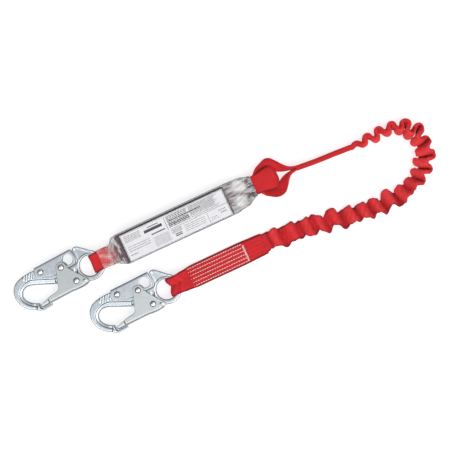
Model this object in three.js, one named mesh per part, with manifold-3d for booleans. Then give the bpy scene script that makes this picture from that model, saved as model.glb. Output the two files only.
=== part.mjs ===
// Shock absorbing lanyard, laid flat: snap hook - energy absorber pack - choked web leg - snap hook.
// Millimetres, +Z up. The origin is the middle of the pack's underside and +X runs along the pack,
// from hook 1 towards the leg. Every piece stands on or above the plane z = 0.
import * as THREE from "three";
import { mergeVertices } from "three/addons/utils/BufferGeometryUtils.js";
import Module from "manifold-3d";

const wasm = await Module();
wasm.setup();

// ---------------------------------------------------------------- driving dimensions

const GAP = 0.3; // clearance between neighbouring solids

// snap hooks: plan sizes are in the hook's own frame, whose origin is the centre of the web eye
const HOOK_MID_Z = 12.5; // height of the hook's middle plane
const HOOKS = [
  { name: "hook_1", x: -126.8, y: -1.1, yawDeg: 3.4 },
  { name: "hook_2", x: -47.2, y: -72.9, yawDeg: 1.7 },
];
const BODY_THICK = 10.4; // forged body
const BODY_CHAMFER = 2.2; // round both mouths of the eye
const EYE_R = 14; // web eye
const EYE_RIM_R = 20.5;
const LIP_THICK = 8.4; // nose lip that closes over the gate's tip
const LEVER_INSIDE = 5.7; // half the inside width of the lock lever's channel
const LEVER_SHEET = 1.5;
const GATE_INSIDE = 7.6; // half the inside width of the gate's channel
const GATE_SHEET = 1.6;
const GATE_PIVOT = { x: -24.4, y: -9.6 };
const LEVER_PIVOT = { x: -61.8, y: 23.3 };
const LOCK_PIN = { x: -34.4, y: 15.8 };
const GATE_OPEN_DEG = 22; // gate travel
const LEVER_PRESS_DEG = 7.92; // lever travel while the gate opens fully
const SHANK_R = 2.4; // rivets and lock pin
const RIVET_HEAD_R = 4.3;
const RIVET_HEAD_H = 2.6;
const SPRING_WIRE_R = 0.45;
const SPRING_PITCH = 1.2;
const SPRING_TURNS = 2.6;
const POCKET_FLOOR = 1.4; // height of the floor of both spring recesses over the middle plane
const GATE_POCKET_R = 5.5;
const LEVER_POCKET_R = 4.9;
const THUMB_WINDOW = { x: -22.4, y: 21.2, radius: 7.4 };

// energy absorber pack
const PACK_HALF = 80; // half the full-height length
const PACK_TOP = 27;
const FILM = 0.6;
const LABEL = { x0: -74, x1: 75.5, y0: -20, y1: 18, thick: 0.35 };
const FOLD_WIDTH = { y0: -18.6, y1: 20.6 }; // width of the folded webbing
const LOOP_Z = 13.7; // middle plane of the two sewn-in loops
const LOOP_WEB = 2.2; // thickness of their web

// leg
const EDGE_WEB = { wide: 7, tall: 13 }; // web folded in half and standing on edge
const STRETCH_OUTER = { wide: 22, tall: 18 }; // crinkled tubular web, first run
const STRETCH_INNER = { wide: 28, tall: 14 }; // crinkled tubular web, return run
const TUBE_WALL = 2;
const CORE = { wide: 11, tall: 3 };
const TERMINAL_WEB = 2.6;
const TERMINAL_Y = -72.4;

// Centreline of the free leg, hand-laid, from the choke to the sewn terminal.
const EDGE_ROUTE = [
  [178, 0.3, 13.7],
  [186, -0.3, 12.6],
  [200, -1.2, 9.6],
  [216, -2.0, 7.6],
  [235, -2.9, 7.2],
  [255, -4.2, 7.6],
  [272, -4.7, 9.2],
];
const OUTER_ROUTE = [
  [272.4, -4.7, 9.3],
  [286, -3.9, 9.3],
  [304, -3.2, 9.3],
  [320, -5.0, 9.3],
  [333, -10.4, 9.3],
  [341.5, -20.5, 9.3],
  [345, -33, 9.3],
  [344.5, -47, 9.3],
  [339.5, -61, 9.3],
  [329, -73, 9.3],
  [314, -82, 9.3],
  [298, -87.6, 9.3],
  [286, -89.9, 9.3],
  [280.5, -90.2, 9.3],
];
const RETURN_ROUTE = [
  [279.6, -90.25, 7.4],
  [274, -90.55, 7.4],
  [260, -90.6, 7.4],
  [244, -89.6, 7.4],
  [226, -87.4, 7.4],
  [208, -84.6, 7.4],
  [190, -81.4, 7.4],
  [170, -78, 7.4],
  [150, -75.4, 7.4],
  [130, -73.6, 7.4],
  [112, -72.8, 7.4],
  [96.4, -72.4, 7.4],
];

// ---------------------------------------------------------------- materials

const finish = (color, roughness, metalness) => () =>
  new THREE.MeshStandardMaterial({ color, roughness, metalness });
const zinc = finish(0xb9c2ca, 0.32, 0.9);
const gateZinc = finish(0xb4b2ae, 0.38, 0.85);
const chrome = finish(0xd8dadc, 0.15, 1);
const springSteel = finish(0x8a8d90, 0.35, 1);
const redWeb = finish(0xcf2a33, 0.75, 0);
const darkWeb = finish(0x4a2a3c, 0.8, 0);
const thread = finish(0xf2ece6, 0.7, 0);
const clearFilm = finish(0xc9c9cc, 0.2, 0);
const paper = finish(0xf4f4f2, 0.6, 0);
const elastic = finish(0x2e2e30, 0.9, 0);

// ---------------------------------------------------------------- solids

// A closed three.js geometry as a solid, whichever way its faces point.
function solid(geometry) {
  const bare = geometry.index ? geometry.toNonIndexed() : geometry.clone();
  bare.deleteAttribute("normal");
  bare.deleteAttribute("uv");
  const merged = mergeVertices(bare, 1e-4);
  const build = (triVerts) =>
    new wasm.Manifold(
      new wasm.Mesh({
        numProp: 3,
        vertProperties: merged.attributes.position.array,
        triVerts,
      }),
    );
  const kept = [];
  const index = merged.index.array;
  for (let i = 0; i < index.length; i += 3) {
    const [a, b, c] = index.slice(i, i + 3);
    if (a !== b && b !== c && c !== a) kept.push(a, b, c);
  }
  const made = build(new Uint32Array(kept));
  if (made.volume() > 0) return made;
  return build(new Uint32Array(kept.reverse()));
}

function mesh(name, material, body) {
  const { vertProperties, triVerts } = body.getMesh();
  const geometry = new THREE.BufferGeometry();
  geometry.setAttribute("position", new THREE.Float32BufferAttribute(vertProperties, 3));
  geometry.setIndex(new THREE.Uint32BufferAttribute(triVerts, 1));
  geometry.computeVertexNormals();
  const made = new THREE.Mesh(geometry, material());
  made.name = name;
  return made;
}

// A plan outline in X and Y, from z0 up to z1.
function slab(shape, z0, z1, curveSegments = 6) {
  const made = new THREE.ExtrudeGeometry(shape, {
    depth: z1 - z0,
    bevelEnabled: false,
    curveSegments,
  });
  return solid(made.translate(0, 0, z0));
}

// A side outline in X and Z, from y0 to y1.
function sideSlab(shape, y0, y1, curveSegments = 6) {
  const made = new THREE.ExtrudeGeometry(shape, {
    depth: y1 - y0,
    bevelEnabled: false,
    curveSegments,
  });
  return solid(made.rotateX(Math.PI / 2).translate(0, y1, 0));
}

function block(x0, x1, y0, y1, z0, z1) {
  const made = new THREE.BoxGeometry(x1 - x0, y1 - y0, z1 - z0);
  return solid(made.translate((x0 + x1) / 2, (y0 + y1) / 2, (z0 + z1) / 2));
}

// An upright round bar.
function bar(at, radius, z0, z1, sides = 18) {
  const made = new THREE.CylinderGeometry(radius, radius, z1 - z0, sides);
  return solid(made.rotateX(Math.PI / 2).translate(at.x, at.y, (z0 + z1) / 2));
}

function polygon(points) {
  return new THREE.Shape(points.map(([x, y]) => new THREE.Vector2(x, y)));
}

// The outline of a strip of even thickness along a smooth open line.
function strip(points, thick, steps) {
  const line = new THREE.SplineCurve(points.map(([x, y]) => new THREE.Vector2(x, y)));
  const left = [];
  const right = [];
  for (let i = 0; i <= steps; i++) {
    const at = line.getPoint(i / steps);
    const along = line.getTangent(i / steps);
    const across = new THREE.Vector2(-along.y, along.x).multiplyScalar(thick / 2);
    left.push(at.clone().add(across));
    right.push(at.clone().sub(across));
  }
  return new THREE.Shape([...left, ...right.reverse()]);
}

// A web strip in X and Z that runs out along one ply, round a bight and back along the other.
function bightStrip(upper, lower, centre, radius, thick, side) {
  const arc = [];
  for (let i = 0; i <= 6; i++) {
    const turn = Math.PI * (0.5 + (side * i) / 6);
    arc.push([centre.x + radius * Math.cos(turn), centre.z + radius * Math.sin(turn)]);
  }
  return strip([...upper, ...arc, ...lower], thick, 52);
}

function ellipse(wide, tall) {
  return new THREE.Shape().absellipse(0, 0, tall / 2, wide / 2, 0, Math.PI * 2, false);
}

// A section swept along a route. In the section x is upright and y is across.
function sweep(section, route, steps, curveSegments = 5) {
  const line = new THREE.CatmullRomCurve3(route.map((p) => new THREE.Vector3(...p)));
  return solid(
    new THREE.ExtrudeGeometry(section, {
      extrudePath: line,
      steps,
      bevelEnabled: false,
      curveSegments,
    }),
  );
}

const turned = (point, about, degrees) => {
  const angle = THREE.MathUtils.degToRad(degrees);
  return new THREE.Vector2(point.x, point.y).rotateAround(about, angle);
};

// ---------------------------------------------------------------- snap hook

// The forged body: web eye, thumb guard, spine under the lever, bow and the end face of the nose.
function hookBodyOutline() {
  const outline = new THREE.Shape();
  const eyeStart = THREE.MathUtils.degToRad(-117);
  const eyeEnd = THREE.MathUtils.degToRad(58);
  outline.absarc(0, 0, EYE_RIM_R, eyeStart, eyeEnd, false);
  outline.lineTo(-2.2, 30);
  outline.quadraticCurveTo(-5, 32.6, -9, 31.6);
  outline.quadraticCurveTo(-11.2, 31, -11.2, 28);
  outline.lineTo(-11.2, 17);
  outline.quadraticCurveTo(-11.2, 11, -17, 11);
  outline.lineTo(-42, 11);
  outline.quadraticCurveTo(-46.5, 11, -48.5, 15);
  outline.lineTo(-54.5, 26.5);
  outline.quadraticCurveTo(-56, 29.4, -60, 29.6);
  outline.lineTo(-74, 30.3);
  outline.splineThru(
    [
      [-89, 29.2],
      [-99.5, 25.4],
      [-106.3, 18],
      [-109, 7],
      [-106.2, -4.4],
      [-98.6, -13.6],
      [-91.5, -18.4],
      [-84.5, -20.6],
    ].map(([x, y]) => new THREE.Vector2(x, y)),
  );
  outline.lineTo(-84.5, -12);
  outline.splineThru(
    [
      [-89.4, -9.4],
      [-95.2, -4.6],
      [-98.6, 1.2],
    ].map(([x, y]) => new THREE.Vector2(x, y)),
  );
  outline.lineTo(-98.6, 8.6); // flat seat in the crown of the bow
  outline.splineThru(
    [
      [-94.8, 13.2],
      [-88, 15.4],
      [-80.5, 14.2],
      [-75, 12],
    ].map(([x, y]) => new THREE.Vector2(x, y)),
  );
  outline.lineTo(-47, -1.2);
  outline.quadraticCurveTo(-38, -5.6, -31.4, -13.6);
  outline.absarc(
    GATE_PIVOT.x,
    GATE_PIVOT.y,
    8,
    THREE.MathUtils.degToRad(-150),
    THREE.MathUtils.degToRad(-60),
    false,
  );
  return outline;
}

function hookBody() {
  const half = BODY_THICK / 2;
  const edge = EYE_R + BODY_CHAMFER;
  const sides = 40;
  const flare = new THREE.CylinderGeometry(edge, EYE_R, BODY_CHAMFER, sides).rotateX(Math.PI / 2);
  const forged = slab(hookBodyOutline(), -half, half, 7)
    .subtract(bar({ x: 0, y: 0 }, EYE_R, -BODY_THICK, BODY_THICK, sides))
    .subtract(solid(flare.clone().translate(0, 0, half - BODY_CHAMFER / 2)))
    .subtract(solid(flare.rotateX(Math.PI).translate(0, 0, BODY_CHAMFER / 2 - half)));
  const lip = slab(
    polygon([
      [-91, -13],
      [-86, -10.9],
      [-83, -12.4],
      [-83, -20.5],
      [-69, -20.5],
      [-68, -21.4],
      [-68.8, -23.2],
      [-84, -23.8],
      [-91, -20.6],
    ]),
    -LIP_THICK / 2,
    LIP_THICK / 2,
  );
  const above = BODY_THICK;
  const gatePocket = bar(GATE_PIVOT, GATE_POCKET_R, POCKET_FLOOR, above);
  const leverPocket = bar(LEVER_PIVOT, LEVER_POCKET_R, POCKET_FLOOR, above);
  const tailSlot = block(LEVER_PIVOT.x - 3.2, LEVER_PIVOT.x + 3.2, 25, 34, POCKET_FLOOR, above);
  return forged
    .add(lip)
    .subtract(bar(GATE_PIVOT, SHANK_R + GAP, -above, above))
    .subtract(bar(LEVER_PIVOT, SHANK_R + GAP, -above, above))
    .subtract(gatePocket)
    .subtract(leverPocket)
    .subtract(tailSlot);
}

// The gate: a channel of folded sheet, open towards the throat, with an ear round the lock pin.
function hookGate() {
  const outline = new THREE.Shape();
  outline.moveTo(-81.3, -15.2);
  outline.lineTo(-81.3, -20);
  outline.lineTo(-36, -20.1);
  outline.quadraticCurveTo(-24, -22.4, -13, -20.4);
  outline.quadraticCurveTo(-9.8, -19.4, -9.6, -16);
  outline.quadraticCurveTo(-10.4, -12.4, -14.4, -7.6);
  outline.lineTo(-18.4, -1.5);
  outline.lineTo(-27.6, 12.9);
  outline.absarc(
    LOCK_PIN.x,
    LOCK_PIN.y,
    6.4,
    THREE.MathUtils.degToRad(-22),
    THREE.MathUtils.degToRad(176),
    false,
  );
  outline.lineTo(-50.4, -6.4);
  outline.quadraticCurveTo(-51.6, -9.6, -55.5, -10.8);
  outline.lineTo(-78.4, -14);
  const wide = GATE_INSIDE + GATE_SHEET;
  const back = -20 + GATE_SHEET;
  const hollow = polygon([
    [-90, back],
    [-13, back],
    [-13, -30],
    [10, -30],
    [10, 40],
    [-90, 40],
  ]);
  return slab(outline, -wide, wide, 6)
    .subtract(slab(hollow, -GATE_INSIDE, GATE_INSIDE))
    .subtract(bar(GATE_PIVOT, SHANK_R + GAP, -2 * wide, 2 * wide))
    .subtract(bar(LOCK_PIN, SHANK_R + GAP, -2 * wide, 2 * wide));
}

// The lock lever: a channel over the spine. The pin leaves its notch along the window as it is pressed.
function lockLever() {
  const outline = new THREE.Shape();
  outline.moveTo(-67.6, 32.4);
  outline.lineTo(-15.4, 32.4);
  outline.quadraticCurveTo(-12.9, 32.2, -12.9, 29.4);
  outline.lineTo(-12.7, 22);
  outline.quadraticCurveTo(-12.8, 14.6, -16.6, 11.4);
  outline.lineTo(-44, 11);
  outline.quadraticCurveTo(-50, 11.2, -58, 15);
  outline.absarc(
    LEVER_PIVOT.x,
    LEVER_PIVOT.y,
    8.4,
    THREE.MathUtils.degToRad(-70),
    THREE.MathUtils.degToRad(-215),
    true,
  );
  outline.lineTo(-68.6, 31);
  const wide = LEVER_INSIDE + LEVER_SHEET;
  const hollow = polygon([
    [-90, 0],
    [0, 0],
    [0, 32.4 - LEVER_SHEET],
    [-90, 32.4 - LEVER_SHEET],
  ]);
  let made = slab(outline, -wide, wide, 6)
    .subtract(slab(hollow, -LEVER_INSIDE, LEVER_INSIDE))
    .subtract(bar(LEVER_PIVOT, SHANK_R + GAP, -2 * wide, 2 * wide));
  const stops = 4;
  for (let i = 0; i <= stops; i++) {
    const part = i / stops;
    const inBody = turned(LOCK_PIN, GATE_PIVOT, -GATE_OPEN_DEG * part);
    const inLever = turned(inBody, LEVER_PIVOT, LEVER_PRESS_DEG * part);
    made = made.subtract(bar(inLever, SHANK_R + 2 * GAP, -2 * wide, 2 * wide));
  }
  return made.subtract(bar(THUMB_WINDOW, THUMB_WINDOW.radius, -2 * wide, 2 * wide, 32));
}

// A rivet with a domed head on each side, turned about its own axis.
function rivet(at, halfGrip) {
  const head = halfGrip + GAP;
  const half = [
    [0, head + RIVET_HEAD_H],
    [RIVET_HEAD_R * 0.62, head + RIVET_HEAD_H * 0.82],
    [RIVET_HEAD_R, head + RIVET_HEAD_H * 0.15],
    [RIVET_HEAD_R, head],
    [SHANK_R, head],
  ];
  const profile = [...half, ...half.map(([r, z]) => [r, -z]).reverse()];
  const made = new THREE.LatheGeometry(
    profile.map(([r, z]) => new THREE.Vector2(r, z)),
    16,
  );
  return solid(made.rotateX(Math.PI / 2).translate(at.x, at.y, 0));
}

// A torsion spring round a pivot: a short coil that ends at endDeg, then a leg out of the recess.
function torsionSpring(at, radius, endDeg, legTo) {
  const low = POCKET_FLOOR + GAP + SPRING_WIRE_R;
  const steps = 32;
  const route = [];
  for (let i = 0; i <= steps; i++) {
    const turnsLeft = SPRING_TURNS * (1 - i / steps);
    const turn = THREE.MathUtils.degToRad(endDeg) + turnsLeft * 2 * Math.PI;
    route.push([
      at.x + radius * Math.cos(turn),
      at.y + radius * Math.sin(turn),
      low + (i / steps) * SPRING_TURNS * SPRING_PITCH,
    ]);
  }
  route.push(...legTo);
  return sweep(ellipse(2 * SPRING_WIRE_R, 2 * SPRING_WIRE_R), route, 44, 3);
}

function snapHook({ name, x, y, yawDeg }) {
  const hook = new THREE.Group();
  hook.position.set(x, y, HOOK_MID_Z);
  hook.rotation.z = THREE.MathUtils.degToRad(yawDeg);
  const gateGrip = GATE_INSIDE + GATE_SHEET;
  const leverGrip = LEVER_INSIDE + LEVER_SHEET;
  const gateSpring = torsionSpring(GATE_PIVOT, 4.2, -90, [
    [GATE_PIVOT.x - 3, GATE_PIVOT.y - 4.9, 5.6],
    [GATE_PIVOT.x - 8, GATE_PIVOT.y - 6.4, 6.4],
    [GATE_PIVOT.x - 22, GATE_PIVOT.y - 7.6, 6.5],
  ]);
  const leverSpring = torsionSpring(LEVER_PIVOT, 3.6, 150, [
    [LEVER_PIVOT.x - 1.7, LEVER_PIVOT.y + 4.6, 4.8],
    [LEVER_PIVOT.x - 1.4, LEVER_PIVOT.y + 6.8, 4.6],
  ]);
  hook.add(
    mesh(`${name}_body`, zinc, hookBody()),
    mesh(`${name}_gate`, gateZinc, hookGate()),
    mesh(`${name}_lock_lever`, zinc, lockLever()),
    mesh(`${name}_gate_rivet`, chrome, rivet(GATE_PIVOT, gateGrip)),
    mesh(`${name}_lock_pin`, chrome, rivet(LOCK_PIN, gateGrip)),
    mesh(`${name}_lever_rivet`, chrome, rivet(LEVER_PIVOT, leverGrip)),
    mesh(`${name}_gate_spring`, springSteel, gateSpring),
    mesh(`${name}_lever_spring`, springSteel, leverSpring),
  );
  return hook;
}

// ---------------------------------------------------------------- energy absorber pack

// The shrink-film sleeve: a plan outline and a side outline crossed, drawn in by inset all round.
function sleeveForm(inset) {
  const past = inset > 0 ? 1 : 0; // the inside runs out through both ends
  const plan = polygon([
    [-93 - past, -14.6 + inset],
    [-93 - past, 13 - inset],
    [-PACK_HALF, 22.6 - inset],
    [PACK_HALF, 23.4 - inset],
    [96, 22.6 - inset],
    [116 + past, 17.6 - inset],
    [116 + past, -11.6 + inset],
    [98, -19 + inset],
    [PACK_HALF, -20.6 + inset],
    [-PACK_HALF, -20.6 + inset],
  ]);
  const side = polygon([
    [-93 - past, 3.8 + inset],
    [-PACK_HALF, inset],
    [PACK_HALF, inset],
    [98, 0.6 + inset],
    [116 + past, 2.6 + inset],
    [116 + past, 24.6 - inset],
    [98, 26.2 - inset],
    [PACK_HALF, PACK_TOP - inset],
    [-PACK_HALF, PACK_TOP - inset],
    [-93 - past, 22.6 - inset],
  ]);
  return slab(plan, -5, PACK_TOP + 5).intersect(sideSlab(side, -30, 30));
}

// Webbing folded back and forth into a flat stack.
function foldedStack(x0, x1, z0, z1, layers) {
  const pitch = (z1 - z0 + GAP) / layers;
  const thick = pitch - GAP;
  let stack = block(x0, x1, FOLD_WIDTH.y0, FOLD_WIDTH.y1, z0, z0 + thick);
  for (let i = 1; i < layers; i++) {
    const z = z0 + i * pitch;
    const layer = block(x0, x1, FOLD_WIDTH.y0, FOLD_WIDTH.y1, z, z + thick);
    const end = i % 2 ? x1 : x0;
    const bend = sideSlab(
      new THREE.Shape().absarc(end, z - GAP / 2, pitch - GAP / 2, 0, Math.PI * 2, false),
      FOLD_WIDTH.y0,
      FOLD_WIDTH.y1,
    );
    const outward = i % 2 ? [end, end + pitch] : [end - pitch, end];
    const half = block(...outward, -40, 40, z0, z1);
    stack = stack.add(layer).add(bend.intersect(half));
  }
  return stack;
}

function pack() {
  const group = new THREE.Group();
  const labelTop = PACK_TOP - FILM - GAP;
  const stackTop = labelTop - LABEL.thick - GAP;
  const tailLow = LOOP_Z - LOOP_WEB - GAP / 2;
  const tailHigh = LOOP_Z + LOOP_WEB + GAP / 2;
  const ply = (LOOP_WEB + GAP) / 2; // a ply's middle above or below the loop's middle plane
  const hookLoop = sideSlab(
    bightStrip(
      [
        [-6, LOOP_Z + ply],
        [-40, LOOP_Z + ply],
        [-84, LOOP_Z + ply],
        [-94, LOOP_Z + 2.6],
        [-105, HOOK_MID_Z + 6.7],
      ],
      [
        [-105, HOOK_MID_Z - 6.7],
        [-94, LOOP_Z - 2.8],
        [-84, LOOP_Z - ply],
        [-40, LOOP_Z - ply],
        [-6, LOOP_Z - ply],
      ],
      { x: -116.4, z: HOOK_MID_Z },
      6.95,
      LOOP_WEB,
      1,
    ),
    -13.5,
    11.3,
    1,
  );
  const legLoop = sideSlab(
    bightStrip(
      [
        [6, LOOP_Z + ply],
        [60, LOOP_Z + ply],
        [98, LOOP_Z + ply],
        [108, LOOP_Z + 4.4],
        [118, LOOP_Z + 8.5],
        [130, LOOP_Z + 8.8],
      ],
      [
        [130, LOOP_Z - 8.8],
        [118, LOOP_Z - 8.5],
        [108, LOOP_Z - 4.4],
        [98, LOOP_Z - ply],
        [60, LOOP_Z - ply],
        [6, LOOP_Z - ply],
      ],
      { x: 142, z: LOOP_Z },
      8.8,
      LOOP_WEB,
      -1,
    ),
    -10,
    16,
    1,
  );
  group.add(
    mesh("pack_sleeve", clearFilm, sleeveForm(0).subtract(sleeveForm(FILM))),
    mesh(
      "pack_label",
      paper,
      block(LABEL.x0, LABEL.x1, LABEL.y0, LABEL.y1, labelTop - LABEL.thick, labelTop),
    ),
    mesh("tear_webbing", darkWeb, foldedStack(-72, 72, FILM + GAP, tailLow - GAP, 4)),
    mesh("backup_webbing", darkWeb, foldedStack(-72, 72, tailHigh + GAP, stackTop, 3)),
    mesh("hook_end_loop", redWeb, hookLoop),
    mesh("leg_end_loop", redWeb, legLoop),
  );
  return group;
}

// ---------------------------------------------------------------- leg

// The leg's own loop: passes between the plies of the pack's loop and closes on itself beyond it.
function chokeLoop() {
  const half = EDGE_WEB.tall / 2;
  const over = strip(
    [
      [176.2, 1.7],
      [166, 6],
      [156, 16.5],
      [148, 24.5],
      [141, 25],
      [130, 19],
      [123.5, 12],
      [122, 3],
    ],
    4.4,
    28,
  );
  const under = strip(
    [
      [122, 3.4],
      [123.5, -5],
      [130, -13.5],
      [140, -20],
      [148, -19.6],
      [156, -11.5],
      [166, -4],
      [176.2, -1.1],
    ],
    4.4,
    28,
  );
  return slab(over, LOOP_Z - half, LOOP_Z + half).add(slab(under, LOOP_Z - half, LOOP_Z + half));
}

function rectangle(wide, tall) {
  const corner = Math.min(1.4, tall / 4);
  const u = tall / 2;
  const v = wide / 2;
  return polygon([
    [-u, corner - v],
    [corner - u, -v],
    [u - corner, -v],
    [u, corner - v],
    [u, v - corner],
    [u - corner, v],
    [corner - u, v],
    [-u, v - corner],
  ]);
}

function stretchTube({ wide, tall }, route, steps) {
  const section = ellipse(wide, tall);
  section.holes.push(ellipse(wide - 2 * TUBE_WALL, tall - 2 * TUBE_WALL));
  return sweep(section, route, steps);
}

// The leg's end, folded round the hook's eye and sewn back on itself.
function terminalWeb() {
  const low = GAP + TERMINAL_WEB / 2;
  const high = low + TERMINAL_WEB + GAP;
  const centre = { x: -36.4, z: HOOK_MID_Z };
  const radius = 5.9 + TERMINAL_WEB / 2;
  const band = sideSlab(
    bightStrip(
      [
        [96, high + 0.6],
        [70, high],
        [40, high],
        [8, high],
        [-6, high + 4],
        [-25, HOOK_MID_Z + radius - 0.1],
      ],
      [
        [-25, HOOK_MID_Z - radius + 0.1],
        [-8, low],
        [10, low],
        [40, low],
        [77, low],
      ],
      centre,
      radius,
      TERMINAL_WEB,
      1,
    ),
    TERMINAL_Y - 16,
    TERMINAL_Y + 16,
    1,
  );
  const plan = polygon([
    [-50, TERMINAL_Y - 12.6],
    [-24, TERMINAL_Y - 12.6],
    [-6, TERMINAL_Y - 15],
    [60, TERMINAL_Y - 15],
    [97, TERMINAL_Y - 13.4],
    [97, TERMINAL_Y + 13.4],
    [60, TERMINAL_Y + 15],
    [-6, TERMINAL_Y + 15],
    [-24, TERMINAL_Y + 11.8],
    [-50, TERMINAL_Y + 11.8],
  ]);
  return band.intersect(slab(plan, -5, 40));
}

// Rows of lock stitch along the terminal, joined by the bar tack across their inner end.
function terminalStitching() {
  const bottom = 2 * (GAP + TERMINAL_WEB) + GAP + 0.1;
  const top = bottom + 0.5;
  const rows = 5;
  const pitch = 5.2;
  const first = TERMINAL_Y - (pitch * (rows - 1)) / 2;
  let made = block(68, 70, first - 1, first + pitch * (rows - 1) + 1, bottom, top);
  for (let i = 0; i < rows; i++) {
    const y = first + i * pitch;
    made = made.add(block(10, 69, y - 0.6, y + 0.6, bottom, top));
  }
  return made;
}

function leg() {
  const group = new THREE.Group();
  const coreRoute = [
    [274, -4.6, 8.6],
    ...OUTER_ROUTE.slice(1, -1).map(([x, y]) => [x, y, 8.6]),
    ...RETURN_ROUTE.slice(1, -1).map(([x, y]) => [x, y, 7.6]),
    [98, -72.4, 7.4],
  ];
  group.add(
    mesh("choke_loop", redWeb, chokeLoop()),
    mesh("leg_edge_web", redWeb, sweep(rectangle(EDGE_WEB.wide, EDGE_WEB.tall), EDGE_ROUTE, 12)),
    mesh("stretch_web_outer", redWeb, stretchTube(STRETCH_OUTER, OUTER_ROUTE, 24)),
    mesh("stretch_web_return", redWeb, stretchTube(STRETCH_INNER, RETURN_ROUTE, 14)),
    mesh("elastic_core", elastic, sweep(rectangle(CORE.wide, CORE.tall), coreRoute, 34)),
    mesh("terminal_web", redWeb, terminalWeb()),
    mesh("terminal_stitching", thread, terminalStitching()),
  );
  return group;
}

// ---------------------------------------------------------------- the lanyard

const lanyard = new THREE.Group();
lanyard.add(pack(), leg(), ...HOOKS.map(snapHook));

export default lanyard;
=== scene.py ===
"""The looks of the shock absorbing lanyard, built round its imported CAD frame. Metres, +Z up."""

from math import asin, atan2, cos, degrees, pi, radians, sin

import bmesh
import bpy
import numpy as np
from mathutils import Matrix, Vector
from mathutils.geometry import delaunay_2d_cdt


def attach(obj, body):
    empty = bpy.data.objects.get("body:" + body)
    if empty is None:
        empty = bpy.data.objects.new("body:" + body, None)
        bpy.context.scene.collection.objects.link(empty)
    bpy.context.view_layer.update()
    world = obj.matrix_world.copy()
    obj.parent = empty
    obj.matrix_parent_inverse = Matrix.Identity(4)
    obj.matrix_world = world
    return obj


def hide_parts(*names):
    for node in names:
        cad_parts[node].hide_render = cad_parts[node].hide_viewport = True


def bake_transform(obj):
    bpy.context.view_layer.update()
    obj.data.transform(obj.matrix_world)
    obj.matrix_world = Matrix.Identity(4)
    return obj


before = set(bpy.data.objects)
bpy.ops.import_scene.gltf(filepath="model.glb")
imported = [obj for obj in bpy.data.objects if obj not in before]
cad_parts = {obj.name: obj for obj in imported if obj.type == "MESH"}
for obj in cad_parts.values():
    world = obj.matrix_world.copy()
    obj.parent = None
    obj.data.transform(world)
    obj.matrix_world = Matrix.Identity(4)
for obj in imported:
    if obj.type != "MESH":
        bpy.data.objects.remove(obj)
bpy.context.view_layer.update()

MM = 0.001
TO_X, TO_Y, UP = np.eye(3)
FLOOR_GAP = 0.3  # mm, how far the lowest web stays above the floor
HOLLOW_REACH = 9  # mm, how far along a web its level is averaged to find its hollows


# -------- camera


def add_camera():
    """Straight down, with the pack running up to the right as in the view that is matched."""
    data = bpy.data.cameras.new("camera")
    data.lens = 85
    data.sensor_width = 36
    camera = bpy.data.objects.new("camera", data)
    camera.location = (0.0596, -0.0284, 1.434)
    camera.rotation_euler = (0, 0, radians(-25))
    bpy.context.scene.collection.objects.link(camera)
    bpy.context.scene.camera = camera


add_camera()


# -------- shader values


def operator(operation):
    """A method that adds a Math node to the value and whatever is given with it."""
    return lambda self, *others: self.into("Math", enumerate((self, *others)), operation=operation)


class Wire:
    """One output of a shader node. Arithmetic on it adds nodes to its tree."""

    __add__ = operator("ADD")
    __sub__ = operator("SUBTRACT")
    __mul__ = operator("MULTIPLY")
    __truediv__ = operator("DIVIDE")
    __abs__ = operator("ABSOLUTE")
    sine = operator("SINE")
    floor = operator("FLOOR")
    root = operator("SQRT")
    at_least = operator("MAXIMUM")
    at_most = operator("MINIMUM")

    def __init__(self, socket):
        self.socket = socket

    def __rsub__(self, other):
        return self.into("Math", {0: other, 1: self}, operation="SUBTRACT")

    def into(self, kind, inputs, output=0, **settings):
        """One output of a new node of the same tree."""
        return Wire(new_node(self.socket.id_data, kind, inputs, **settings).outputs[output])

    def parts(self, kind="SeparateXYZ"):
        return [Wire(output) for output in new_node(self.socket.id_data, kind, {0: self}).outputs]

    def remap(self, low, high, to_low=0, to_high=1):
        names = ("Value", "From Min", "From Max", "To Min", "To Max")
        return self.into("MapRange", zip(names, (self, low, high, to_low, to_high)))

    def mix(self, *colours):
        """The first colour where this is 0 and the second where it is 1."""
        a, b = (c if isinstance(c, Wire) else (*c, 1) for c in colours)
        return self.into("Mix", {0: self, 6: a, 7: b}, 2, data_type="RGBA")

    def noise(self, scale, detail=3.0, roughness=0.5):
        inputs = {"Vector": self, "Scale": scale, "Detail": detail, "Roughness": roughness}
        return self.into("TexNoise", inputs)

    def stretched(self, scale, turn=0.0):
        return self.into("Mapping", {"Vector": self, "Scale": scale, "Rotation": (0, 0, turn)})

    def bump(self, strength, distance):
        return self.into("Bump", {"Height": self, "Strength": strength, "Distance": distance})


def fill(socket, value):
    """Wires a value to a node's input, or sets it there."""
    if isinstance(value, Wire):
        socket.id_data.links.new(value.socket, socket)
    else:
        socket.default_value = value


def new_node(tree, kind, inputs=(), **settings):
    node = tree.nodes.new("ShaderNode" + kind)
    for key, value in settings.items():
        setattr(node, key, value)
    for key, value in dict(inputs).items():
        fill(node.inputs[key], value)
    return node


def source(tree, kind, output=0, **settings):
    """One output of a new node that nothing is wired to."""
    return Wire(new_node(tree, kind, **settings).outputs[output])


def new_material(name):
    """A material and its object coordinates."""
    material = bpy.data.materials.new(name)
    material.use_nodes = True
    return material, source(material.node_tree, "TexCoord", "Object")


def finished(material, **inputs):
    """The material, with the inputs of its Principled shader."""
    for key, value in inputs.items():
        fill(material.node_tree.nodes["Principled BSDF"].inputs[key.replace("_", " ")], value)
    return material


# -------- materials


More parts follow.
